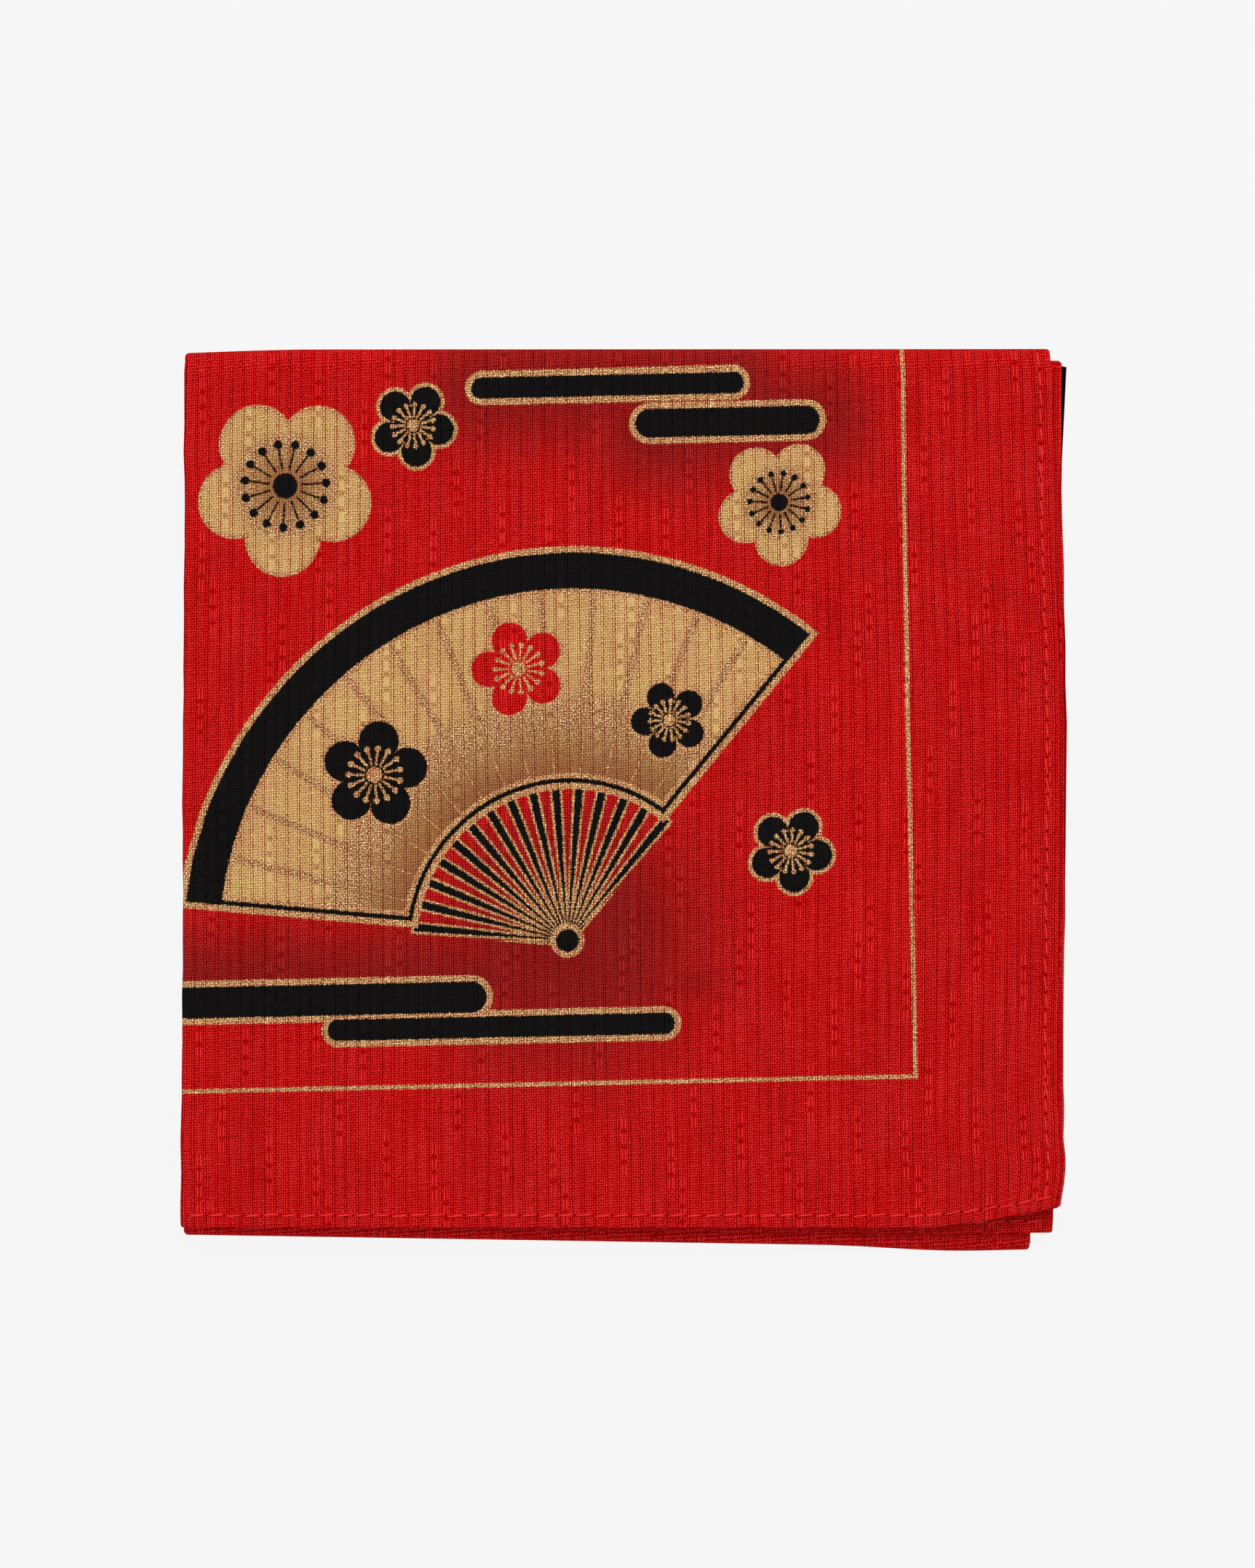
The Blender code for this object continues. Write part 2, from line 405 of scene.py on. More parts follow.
class Reading:
    """A number that the finish works out at each point of the cloth: a node's output."""

    def __init__(self, socket):
        self.socket = socket

    def __add__(self, other):
        return maths("ADD", self, other)

    def __radd__(self, other):
        return maths("ADD", other, self)

    def __sub__(self, other):
        return maths("SUBTRACT", self, other)

    def __rsub__(self, other):
        return maths("SUBTRACT", other, self)

    def __mul__(self, other):
        return maths("MULTIPLY", self, other)

    def __truediv__(self, other):
        return maths("DIVIDE", self, other)

    def __abs__(self):
        return maths("ABSOLUTE", self)


def wire(socket, term):
    """Feeds a node's input from a reading, or sets it to a plain value."""
    if isinstance(term, Reading):
        links.new(term.socket, socket)
    else:
        socket.default_value = term


def maths(operation, *terms):
    """One sum on readings or numbers."""
    node = nodes.new("ShaderNodeMath")
    node.operation = operation
    for socket, term in zip(node.inputs, terms):
        wire(socket, term)
    return Reading(node.outputs["Value"])


def larger(first, second):
    """The larger of two readings: for distances, where two shapes overlap."""
    return maths("MAXIMUM", first, second)


def smaller(first, second):
    """The smaller of two readings: for distances, two shapes together."""
    return maths("MINIMUM", first, second)


def ramp(value, low, high, low_result=0.0, high_result=1.0):
    """A soft step between two results as a reading goes from low to high."""
    node = nodes.new("ShaderNodeMapRange")
    node.interpolation_type = "SMOOTHSTEP"
    for name, term in (("Value", value), ("From Min", low), ("From Max", high),
                       ("To Min", low_result), ("To Max", high_result)):
        wire(node.inputs[name], term)
    return Reading(node.outputs["Result"])


def place(x, y):
    """A point in the plane of the cloth from two readings."""
    node = nodes.new("ShaderNodeCombineXYZ")
    wire(node.inputs["X"], x)
    wire(node.inputs["Y"], y)
    return Reading(node.outputs["Vector"])


def parts(point):
    """A point's or colour's three readings."""
    node = nodes.new("ShaderNodeSeparateXYZ")
    wire(node.inputs["Vector"], point)
    return [Reading(output) for output in node.outputs]


def grain(point, scale=1.0, detail=1.0, output="Fac"):
    """Soft random unevenness, about 0.5 on average."""
    node = nodes.new("ShaderNodeTexNoise")
    node.noise_dimensions = "2D"
    wire(node.inputs["Vector"], point)
    node.inputs["Scale"].default_value = scale
    node.inputs["Detail"].default_value = detail
    return Reading(node.outputs[output])


def chance(point):
    """A random share for each pair of whole numbers, such as a crossing of two threads."""
    node = nodes.new("ShaderNodeTexWhiteNoise")
    node.noise_dimensions = "2D"
    wire(node.inputs["Vector"], point)
    return Reading(node.outputs["Value"])


# A Mix node has a set of sockets for each kind of data. These are the ones for colours.
MIX_SHARE = 0
MIX_UNDER = 6
MIX_OVER = 7
MIX_RESULT = 2


def blend(share, under, over):
    """Two colours blended by a share."""
    node = nodes.new("ShaderNodeMix")
    node.data_type = "RGBA"
    wire(node.inputs[MIX_SHARE], share)
    wire(node.inputs[MIX_UNDER], under)
    wire(node.inputs[MIX_OVER], over)
    return Reading(node.outputs[MIX_RESULT])


def vector_maths(operation, *terms, output="Vector"):
    """One sum on points or colours."""
    node = nodes.new("ShaderNodeVectorMath")
    node.operation = operation
    for socket, term in zip(node.inputs, terms):
        wire(socket, term)
    return Reading(node.outputs[output])


uv = nodes.new("ShaderNodeUVMap")
uv.uv_map = "UVMap"
CLOTH_MM = CLOTH / MM
right, up, _ = [share * CLOTH_MM for share in parts(Reading(uv.outputs["UV"]))]
flat_place = place(right, up)
from_middle = abs(right - CLOTH_MM / 2)
up_from_middle = abs(up - CLOTH_MM / 2)

# The threads wander and tremble a little, and the wefts lie askew to the hems.
WARP_WANDER = 0.9
WEFT_WANDER = 0.45
WANDER_SCALE = 0.017
WEFT_SKEW = 0.05
WARP_TREMOR = 0.11
WEFT_TREMOR = 0.38
TREMOR_SCALE = 1.3
wander = grain(flat_place, WANDER_SCALE, 0.0) - 0.5
shake_right, shake_up, _ = parts(grain(flat_place, TREMOR_SCALE, output="Color"))
thread_right = right + wander * WARP_WANDER + shake_right * WARP_TREMOR
thread_up = up - right * WEFT_SKEW + wander * WEFT_WANDER + shake_up * WEFT_TREMOR

# Warps: six to a dent of the reed, closer together in one half of it than in the other.
DENT = 1.945
DENT_SHIFT = 0.17
DENT_WARPS = 6
DENT_CREST = 0.15
UNEVEN_DENT = 0.216
FIRST_WARP = 0.09
WEFT = 0.4285
TWIST = 0.25               # the fibres' slant shows as a slant of each crossing
dent = thread_right / DENT + DENT_SHIFT
dent_angle = (dent - DENT_CREST) * TURN
warp = dent * DENT_WARPS - maths("COSINE", dent_angle) * UNEVEN_DENT + FIRST_WARP
weft = thread_up / WEFT
dent_count = maths("FLOOR", dent)
warp_number = maths("FLOOR", warp)
weft_number = maths("FLOOR", weft)
crossing = place(warp_number, weft_number)
from_warp = (warp - warp_number - 0.5) * 2.0
from_weft = (weft - weft_number - 0.5) * 2.0 - from_warp * TWIST
warp_over = maths("COSINE", warp_number * math.pi) * maths("SINE", weft * math.pi)
weft_under = maths("COSINE", weft_number * math.pi) * maths("SINE", warp * math.pi)

# Dobby floats: in some dents the second and fourth warps lie over four wefts, under two, and so
# on, like a short ladder. The floats repeat after ten dents and 120 wefts. The chart gives a
# dent's ladders by their first wefts, and NO_LADDER is one that no weft reaches.
REPEAT_DENTS = 10
REPEAT_WEFTS = 120
FLOAT_WEFTS = 4
FLOAT_GAP = 2
FLOAT_PITCH = FLOAT_WEFTS + FLOAT_GAP
LADDER_FLOATS = 4
LADDER_WEFTS = LADDER_FLOATS * FLOAT_PITCH - FLOAT_GAP
NO_LADDER = 200
LADDERS = {
    1: (28, 81), 2: (42, NO_LADDER), 5: (15, 75),
    6: (57, NO_LADDER), 7: (98, NO_LADDER), 9: (3, NO_LADDER),
}
LADDER_MIDDLE = 2.0        # the warp between the two that float, counted from nought
BAR_AWAY = 1.0
BAR_NEAR = 0.2
LADDER_HALF = 1.2


def ladder_chart():
    """The chart as a ramp with a flat step for each dent."""
    node = nodes.new("ShaderNodeValToRGB")
    steps = node.color_ramp
    steps.interpolation = "CONSTANT"
    for dent_place in range(REPEAT_DENTS):
        step = steps.elements[0]
        if dent_place > 0:
            step = steps.elements.new(dent_place / REPEAT_DENTS)
        first, second = LADDERS.get(dent_place, (NO_LADDER, NO_LADDER))
        step.color = (first / REPEAT_WEFTS, second / REPEAT_WEFTS, 0, 1)
    steps.elements.remove(steps.elements[-1])
    return node


chart = ladder_chart()
dent_share = maths("FLOORED_MODULO", dent_count + 0.5, REPEAT_DENTS) / REPEAT_DENTS
wire(chart.inputs["Fac"], dent_share)
weft_place = maths("FLOORED_MODULO", weft_number + 0.5, REPEAT_WEFTS)
floated = 0.0
laddered = 0.0
for start in parts(Reading(chart.outputs["Color"]))[:2]:
    rise = weft_place - start * REPEAT_WEFTS
    in_ladder = maths("LESS_THAN", abs(rise - LADDER_WEFTS / 2), LADDER_WEFTS / 2)
    in_float = maths("LESS_THAN", maths("FLOORED_MODULO", rise, FLOAT_PITCH), FLOAT_WEFTS)
    floated = floated + in_ladder * in_float
    laddered = laddered + in_ladder
warp_in_dent = warp_number - dent_count * DENT_WARPS
bar = floated * maths("COMPARE", abs(warp_in_dent - LADDER_MIDDLE), BAR_AWAY, BAR_NEAR)
across_ladder = maths("COMPARE", warp_in_dent, LADDER_MIDDLE, LADDER_HALF)
flat_red = floated * across_ladder
broken = (laddered - floated) * across_ladder

# Heights of the threads, as shares of a weft's half thickness. A weft's crest waves as it goes
# over and under, and is pinched between two warps. A warp stands up most where it lies over or
# floats, and a ladder's breaks between its floats are sunk.
WAVE = 0.3
WEFT_STEEP = 2.4
WEFT_CRIMP = 0.2
WEFT_PINCH = 0.65
WARP_REST = 0.5
WARP_CRIMP = 0.6
WARP_STEEP = 1.8
FLAT_SINK = 1.5
BAR_RISE = 0.68
BAR_STEEP = 1.65
BREAK_SINK = 0.31
between_warps = from_warp * from_warp
from_crest = from_weft - weft_under * WAVE
weft_height = 1.0 - from_crest * from_crest * WEFT_STEEP - weft_under * WEFT_CRIMP
weft_height = weft_height - flat_red * FLAT_SINK - between_warps * WEFT_PINCH
woven = 1.0 - flat_red
warp_height = warp_over * WARP_CRIMP * woven + bar * BAR_RISE + WARP_REST
warp_height = warp_height - between_warps * (woven * WARP_STEEP + bar * BAR_STEEP)
thread_height = larger(warp_height, weft_height) - broken * BREAK_SINK

# Inks, as shares of red, green and blue light that they return.
RED = (0.485, 0.001, 0.0015, 1)
DEEP_RED = (0.20, 0.007, 0.006, 1)
BLACK = (0.0065, 0.006, 0.006, 1)
TAN = (0.62, 0.37, 0.14, 1)
BROWN = (0.27, 0.10, 0.035, 1)
GOLD = (0.58, 0.31, 0.11, 1)

# The print is the same in the four quarters of each quarter of the cloth, turned over at the
# folds. motif_right and motif_up run from the folded corner of the front panel. The threads make
# the edges of the inks ragged.
PANEL = CLOTH_MM / 4
FRAME_SKEW = 0.0208
RAGGED = 0.5
RAGGED_SCALE = 2.6
INK_SOFT = 0.12
ragged = (grain(flat_place, RAGGED_SCALE) - 0.5) * RAGGED
motif_right = abs(from_middle - PANEL)
motif_up = PANEL - abs(up_from_middle - PANEL) - motif_right * FRAME_SKEW
motif_place = place(motif_right, motif_up)


def cover(distance):
    """How much ink lies on a thread: none outside a shape, where the distance is positive."""
    return ramp(distance + ragged, INK_SOFT, -INK_SOFT)


def lay_shape(ground, distance, fill, edge):
    """A shape printed on a ground: its gold outline and its fill."""
    outlined = blend(cover(distance), ground, GOLD)
    return blend(cover(distance + edge), outlined, fill)


def mist_bank(left, right_end, height, half):
    """Distance from a long rounded bar that reaches half its depth above and below its height."""
    clamp = nodes.new("ShaderNodeClamp")
    wire(clamp.inputs["Value"], motif_right)
    clamp.inputs["Min"].default_value = left
    clamp.inputs["Max"].default_value = right_end
    spine = place(Reading(clamp.outputs["Result"]), height)
    return vector_maths("DISTANCE", motif_place, spine, output="Value") - half


# Mist banks, as left end, right end, height and half depth. Soft dark clouds of ink lie under
# the fan and round the mist, and fade over lengths that are given from clear to dark.
MIST_LOW = ((-20, 48, 37.0, 3.6), (26, 80, 32.0, 2.8))
MIST_HIGH = ((78, 104, 131.0, 3.4), (50, 92, 137.4, 2.8))
FAN_CENTRE = (64.0, 46.0, 0)
CLOUD_REACH = (16.0, 0.0)
CLOUD_FOOT = (32.0, 40.0)
FAN_CLOUD = (34.0, 8.0)
HIGH_CLOUD_IN = 2.0
CLOUD_DEPTH = 0.85
fan_away = vector_maths("SUBTRACT", motif_place, FAN_CENTRE)
fan_x, fan_y, _ = parts(fan_away)
fan_reach = vector_maths("LENGTH", fan_away, output="Value")
mist_low = smaller(*[mist_bank(*bank) for bank in MIST_LOW])
mist_high = smaller(*[mist_bank(*bank) for bank in MIST_HIGH])
mist_cloud = ramp(smaller(mist_low, mist_high + HIGH_CLOUD_IN), *CLOUD_REACH)
mist_cloud = mist_cloud * ramp(motif_up, *CLOUD_FOOT)
cloud = larger(mist_cloud, ramp(fan_reach, *FAN_CLOUD)) * CLOUD_DEPTH
ink = blend(cloud, RED, DEEP_RED)

# The mist banks are black with gold outlines.
BOLD_LINE = 1.0
ink = lay_shape(ink, smaller(mist_high, mist_low), BLACK, BOLD_LINE)

# The fan: a pleated tan leaf with a black rim, and black sticks that meet at a rivet. The leaf
# runs between two distances from the rivet, and a stick widens outwards.
LEAF_INNER = 25.0
LEAF_OUTER = 58.0
FAN_RIM = 65.0
RIM_SIDE = 1.8
FAN_MIDDLE = math.radians(112)
FAN_HALF = math.radians(62)
PLEATS = 14
PLEAT = 2 * FAN_HALF / PLEATS
PLEAT_HALF_LINE = 0.08
PLEAT_SHADE = 0.6
PLEAT_REACH = 1.0
LEAF_SHADE = (46.0, 26.0)
STICK_REACH = (2.0, 26.0)
STICK_HALF = (0.5, 1.0)
STICK_PAST = 1.0
RIVET = 2.8
STICK_LINE = 0.35
LEAF_LINE = 0.8
RIVET_LINE = 0.9
swing = maths("WRAP", maths("ARCTAN2", fan_y, fan_x) - FAN_MIDDLE, math.pi, -math.pi)
past_side = (abs(swing) - FAN_HALF) * fan_reach
from_stick = abs(maths("WRAP", swing, PLEAT / 2, -PLEAT / 2)) * fan_reach
rim = larger(past_side, larger(fan_reach - FAN_RIM, LEAF_INNER - fan_reach))
leaf = larger(rim + RIM_SIDE, fan_reach - LEAF_OUTER)
stick = from_stick - ramp(fan_reach, *STICK_REACH, *STICK_HALF)
stick = larger(stick, fan_reach - LEAF_INNER - STICK_PAST)
stick = larger(stick, past_side - STICK_PAST)
ink = lay_shape(ink, stick, BLACK, STICK_LINE)
ink = lay_shape(ink, rim, BLACK, BOLD_LINE)
leaf_ink = blend(ramp(fan_reach, *LEAF_SHADE), TAN, BROWN)
leaf_ink = blend(ramp(from_stick, PLEAT_REACH, 0.0) * PLEAT_SHADE, leaf_ink, BROWN)
leaf_ink = blend(cover(from_stick - PLEAT_HALF_LINE), leaf_ink, GOLD)
ink = lay_shape(ink, leaf, leaf_ink, LEAF_LINE)
ink = lay_shape(ink, fan_reach - RIVET, BLACK, RIVET_LINE)

# Five-petalled plum blossoms with round hearts and fine stamens. Each point of the cloth looks
# only at the blossom that lies nearest.
Blossom = namedtuple("Blossom", "right up size fill")
BLOSSOMS = (
    Blossom(17.0, 122.0, 15.0, TAN), Blossom(38.5, 131.5, 7.5, BLACK),
    Blossom(99.5, 117.5, 10.5, TAN), Blossom(101.0, 60.0, 7.5, BLACK),
    Blossom(32.0, 74.0, 9.5, BLACK), Blossom(56.0, 91.0, 8.5, RED),
    Blossom(81.0, 82.0, 7.0, BLACK),
)
FAR_AWAY = 1000.0
nearest = FAR_AWAY
heart = (0, 0, 0, 1)
petal_ink = BLACK
for blossom in BLOSSOMS:
    away = vector_maths("DISTANCE", motif_place, (blossom.right, blossom.up, 0), output="Value")
    away = away - blossom.size
    nearer = maths("LESS_THAN", away, nearest)
    nearest = smaller(away, nearest)
    heart = blend(nearer, heart, (blossom.right, blossom.up, blossom.size, 1))
    petal_ink = blend(nearer, petal_ink, blossom.fill)

# A blossom's parts, as shares of its size: how far out they lie, and their radii. Each blossom is
# turned as its size says. Pale petals are shaded brown towards the heart.
PETALS = 5
PETAL_OUT = 0.58
PETAL_ROUND = 0.42
MIDDLE_ROUND = 0.5
STAMENS = 15
STAMEN_OUT = 0.3
STAMEN_HALF = 0.12
TIP_OUT = 0.46
TIP_ROUND = 0.05
HEART_ROUND = 0.14
STAMEN_THIN = 0.18         # half a stamen's width, in millimetres
TURN_BY_SIZE = 1.7
PALE_GREEN = (0.1, 0.2)
PETAL_SHADE = (0.75, 0.15)
PETAL_DEPTH = 0.9
PETAL_LINE = 0.6
_, _, size = parts(heart)
from_heart = vector_maths("SUBTRACT", motif_place, heart)
heart_x, heart_y, _ = parts(from_heart)
reach = vector_maths("LENGTH", place(heart_x, heart_y), output="Value")
angle = maths("ARCTAN2", heart_y, heart_x) + size * TURN_BY_SIZE
half_petal = TURN / PETALS / 2
in_petal = maths("WRAP", angle, half_petal, -half_petal)
petal_right = reach * maths("COSINE", in_petal) - size * PETAL_OUT
petal_up = reach * maths("SINE", in_petal)
petal = vector_maths("LENGTH", place(petal_right, petal_up), output="Value") - size * PETAL_ROUND
petal = smaller(petal, reach - size * MIDDLE_ROUND)
half_spread = TURN / STAMENS / 2
from_stamen = abs(maths("WRAP", angle, half_spread, -half_spread)) * reach
stamen = larger(from_stamen - STAMEN_THIN, abs(reach - size * STAMEN_OUT) - size * STAMEN_HALF)
from_tip = place(from_stamen, reach - size * TIP_OUT)
tip = vector_maths("LENGTH", from_tip, output="Value") - size * TIP_ROUND
stamen = smaller(smaller(stamen, tip), reach - size * HEART_ROUND)
_, petal_green, _ = parts(petal_ink)
pale = ramp(petal_green, *PALE_GREEN)
stamen_ink = blend(pale, GOLD, BLACK)
petal_shade = ramp(reach / size, *PETAL_SHADE) * pale * PETAL_DEPTH
ink = lay_shape(ink, petal, blend(petal_shade, petal_ink, BROWN), PETAL_LINE)
ink = blend(cover(stamen), ink, stamen_ink)

# A plain gold frame line runs 24 mm inside the hems, and a black bar's end reaches the cloth's
# middle fold. The line starts a little way off the folds there.
GOLD_HALF_LINE = 0.33
LINE_START = (7.0, 8.0)
FRAME_RIGHT = 120.3
FRAME_UP = 22.4
FRAME_LEAN = 0.022         # the side line leans outwards below LEAN_FROM, down to the corner
LEAN_FROM = 80.0
BAR_END = (-PANEL, 156.5, 0)
BAR_HALF = 10.5
frame_right = from_middle - PANEL
frame_up = 2 * PANEL - up_from_middle - frame_right * FRAME_SKEW
lean = larger(LEAN_FROM - frame_up, 0.0) * FRAME_LEAN
outside = larger(frame_right - FRAME_RIGHT - lean, FRAME_UP - frame_up)
line_on = ramp(smaller(from_middle, up_from_middle), *LINE_START)
ink = blend(cover(abs(outside) - GOLD_HALF_LINE) * line_on, ink, GOLD)
bar_end = vector_maths("DISTANCE", place(frame_right, frame_up), BAR_END, output="Value")
ink = blend(cover(bar_end - BAR_HALF), ink, BLACK)

# Gold ink glitters, painted: its flakes are painted bright where they catch the light and dark
# where they turn away from it, as painted glints and painted shade. It also dusts the tan. Tan
# and gold are told from the other inks by their green, and gold from tan by its blue.
FLAKE_GLINT = (0.96, 0.66, 0.34, 1)
DUST_GLINT = (0.70, 0.61, 0.16, 1)
FLAKE_PAINTED_SHADE = (0.16, 0.045, 0.02, 1)
TAN_GREEN = (0.1, 0.25)
GOLD_BLUE = (0.128, 0.115)
FLAKE_SCALE = 4.2
FLAKE_GLINT_FROM = (0.55, 0.68)
FLAKE_SHADE_FROM = (0.46, 0.34)
DUST_SCALE = 0.12
DUST_DETAIL = 2.0
DUST_PATCH = (0.45, 0.58)
DUST_SHARE = (0.15, 0.9)
_, ink_green, ink_blue = parts(ink)
tanned = ramp(ink_green, *TAN_GREEN)
golden = ramp(ink_blue, *GOLD_BLUE) * tanned
flakes = grain(flat_place, FLAKE_SCALE)
dust = grain(flat_place, DUST_SCALE, DUST_DETAIL)
dusted = larger(golden, tanned * ramp(dust, *DUST_PATCH, *DUST_SHARE))
# Painted glints on flakes that catch the light, in the gold and in the dust on tan.
ink = blend(ramp(flakes, *FLAKE_GLINT_FROM) * dusted, ink, blend(golden, DUST_GLINT, FLAKE_GLINT))
# Painted shade on gold flakes turned away from the light.
ink = blend(ramp(flakes, *FLAKE_SHADE_FROM) * golden, ink, FLAKE_PAINTED_SHADE)

# The needle's holes lie in a row inside the hem, where they are painted as shade, and the thread
# draws the cloth in there.
STITCH_PITCH = 3.04 * MM
HALF_STITCH = STITCH_PITCH / MM / 2
DRAWN_REACH = 0.6
PRICK_REACH = (0.32, 0.12)
PRICK_SHADE_DEPTH = 0.8
from_side = CLOTH_MM / 2 - from_middle
from_foot = CLOTH_MM / 2 - up_from_middle
at_side = maths("LESS_THAN", from_side, from_foot)
hem_along = right + (up - right) * at_side + HALF_STITCH
from_seam = smaller(from_side, from_foot) - HEM / MM
drawn_in = ramp(abs(from_seam), DRAWN_REACH, 0.0)
along_stitch = maths("WRAP", hem_along, HALF_STITCH, -HALF_STITCH)
from_prick = vector_maths("LENGTH", place(along_stitch, from_seam), output="Value")
# The pricks are painted shade: they only deepen the painted shade of the holes.
prick_shade = ramp(from_prick, *PRICK_REACH) * PRICK_SHADE_DEPTH

# Threads are thicker and thinner along their length, each in its own way, and each crossing
# differs a little by chance. The tone is about nought on average.
THREAD_STEP = 0.73
WEFT_SLUB_SCALE = 0.22
WARP_SLUB_SCALE = 0.06
PATCH_SCALE = 0.10
WEFT_TONE = 0.5
CROSSING_TONE = 0.4
PATCH_TONE = 0.35
MEAN_TONE = 1.1
TONE_RISE = 0.5
slub_weft = grain(place(thread_right * WEFT_SLUB_SCALE, weft_number * THREAD_STEP))
slub_warp = grain(place(warp_number * THREAD_STEP, thread_up * WARP_SLUB_SCALE))
patch = grain(flat_place, PATCH_SCALE)
tone = slub_warp + slub_weft * WEFT_TONE + chance(crossing) * CROSSING_TONE
tone = tone + patch * PATCH_TONE - MEAN_TONE

# The reed leaves a thin gap after each dent's last warp, and a fainter one after its fifth, shown
# only as painted shade. The gaps come and go along the warps. Their widths are shares of a dent.
DENT_GAP = (0.10, 0.02)
FAINT_GAP = (0.08, 0.02)
FAINT_PLACE = 0.21
FAINT_SHARE = 0.5
GAP_COMES = 1.6
GAP_GOES = 0.24
dent_gap = ramp(abs(maths("WRAP", dent, 0.5, -0.5)), *DENT_GAP)
faint_gap = ramp(abs(maths("WRAP", dent + FAINT_PLACE, 0.5, -0.5)), *FAINT_GAP)
gap_shade = (dent_gap + faint_gap * FAINT_SHARE) * (shake_up * GAP_COMES - GAP_GOES)
# This height sets only the painted shade and highlight below, so reed gaps and pricks show as
# painted shade.
height = thread_height + tone * TONE_RISE - prick_shade - gap_shade

# Painted highlight and shade: each crossing is painted lighter on its crown, where the red also
# gets a little painted white sheen, and the holes between threads are painted dark as shade.
# Tan and gold ink fill the holes a little.
HOLE_PAINTED_SHADE = (0.40, 0.08, 0.08, 1)
PAINTED_SHADE_FROM = (0.3, -0.6)
INK_FILLS = 0.2
PAINTED_HIGHLIGHT_FROM = (0.5, 1.15)
PAINTED_SHEEN_FROM = (0.58, 1.15)
PAINTED_HIGHLIGHT_GAIN = (1.69, 1.69, 1.69, 1)
TAN_PAINTED_HIGHLIGHT_GAIN = (1.32, 1.32, 1.32, 1)
PAINTED_CROWN_SHEEN = 0.088
NO_LIGHT = (0, 0, 0, 1)
WHITE_LESS_RED = (0, 1, 1, 1)
EDGE_PAINTED_HIGHLIGHT = 0.35                # painted highlight along the very edge of a side hem
EDGE_HIGHLIGHT_REACH = (0.35, 0.1)
# Painted shade darkens the holes, and a painted highlight lightens the crowns.
hole_painted_shade = ramp(height - tanned * INK_FILLS, *PAINTED_SHADE_FROM)
crown_painted_share = ramp(height, *PAINTED_HIGHLIGHT_FROM)
ink_with_hole_shade = vector_maths("MULTIPLY", ink, blend(hole_painted_shade, (1, 1, 1, 1), HOLE_PAINTED_SHADE))
ink_red, _, _ = parts(ink)
# A painted sheen of white light on the crowns of the red.
painted_sheen = ramp(height, *PAINTED_SHEEN_FROM) * ink_red * PAINTED_CROWN_SHEEN
crown_painted_highlight = vector_maths("MULTIPLY", ink, blend(tanned, PAINTED_HIGHLIGHT_GAIN, TAN_PAINTED_HIGHLIGHT_GAIN))
face_colour = blend(crown_painted_share, ink_with_hole_shade, crown_painted_highlight)
# A painted highlight: the very edge of each side hem is blended to the lighter crown colour.
edge_painted_highlight = ramp(from_side, *EDGE_HIGHLIGHT_REACH) * EDGE_PAINTED_HIGHLIGHT
face_colour = blend(edge_painted_highlight, face_colour, crown_painted_highlight)
face_colour = vector_maths("ADD", face_colour, blend(painted_sheen, NO_LIGHT, WHITE_LESS_RED))

COTTON_ROUGH = 0.9
COTTON_GLOSS = 0.02
COTTON_RELIEF = 0.04 * MM
DRAWN_DEEP = 3.0
shader = nodes["Principled BSDF"]
wire(shader.inputs["Base Color"], face_colour)
shader.inputs["Roughness"].default_value = COTTON_ROUGH
shader.inputs["Specular IOR Level"].default_value = COTTON_GLOSS
bump = nodes.new("ShaderNodeBump")
bump.inputs["Distance"].default_value = COTTON_RELIEF
wire(bump.inputs["Height"], thread_height - drawn_in * DRAWN_DEEP)
links.new(bump.outputs["Normal"], shader.inputs["Normal"])
sheet_mesh.materials.append(cotton)

# ---------------------------------------------------------------------------------------------
# The sewing thread: one row of long lockstitches in red cotton, 2 mm inside the open edge, holds
# the turned hem down. It is modelled where it shows, round the front and the back of the packet
# and on the corner under the lifted one.
STITCH_LENGTH = 2.65 * MM
THREAD = 0.25 * MM
THREAD_SIDES = 8
THREAD_PROUD = 0.03 * MM
STITCH_TILT = 0.11
STITCH_WAVE = 0.13 * MM
QUICK_SWAY = 1.9
SLOW_SWAY = 0.37
Seam = namedtuple("Seam", "name start end along_hem sunk")
SEAMS = (
    Seam("foot of the front", CLOTH - WIDTH + 0.4 * MM, CLOTH, "foot", 0.0),
    Seam("side of the front", 1.4 * MM, WIDTH + 2 * MM, "side", 0.0),
    Seam("side of the back", WIDTH + 2 * MM, 2 * WIDTH - 2 * MM, "side", 0.14 * MM),
    Seam("foot of the layer below", 1.4 * MM, 20 * MM, "far foot", 0.0),
)


def sew(thread_mesh, seam):
    """A row of stitches, each a plump little bar that slants across the seam's line."""
    count = int((seam.end - seam.start) / STITCH_PITCH)
    for number in range(count):
        middle = (math.floor(seam.start / STITCH_PITCH) + number + 1) * STITCH_PITCH
        sway = STITCH_WAVE * math.sin(number * QUICK_SWAY) * math.sin(number * SLOW_SWAY)
        made = bmesh.ops.create_uvsphere(
            thread_mesh, u_segments=THREAD_SIDES, v_segments=THREAD_SIDES, radius=0.5,
            calc_uvs=True
        )
        for vert in made["verts"]:
            along = vert.co.z * STITCH_LENGTH
            in_from_line = vert.co.x * THREAD + along * STITCH_TILT + sway
            above = PLY / 2 + THREAD_PROUD + vert.co.y * THREAD - seam.sunk
            inward = HEM + in_from_line
            if seam.along_hem == "foot":
                vert.co = on_cloth(middle + along, inward, above)
            elif seam.along_hem == "far foot":
                vert.co = on_cloth(middle - along, CLOTH - inward, above)
            else:
                vert.co = on_cloth(CLOTH - inward, middle + along, above)


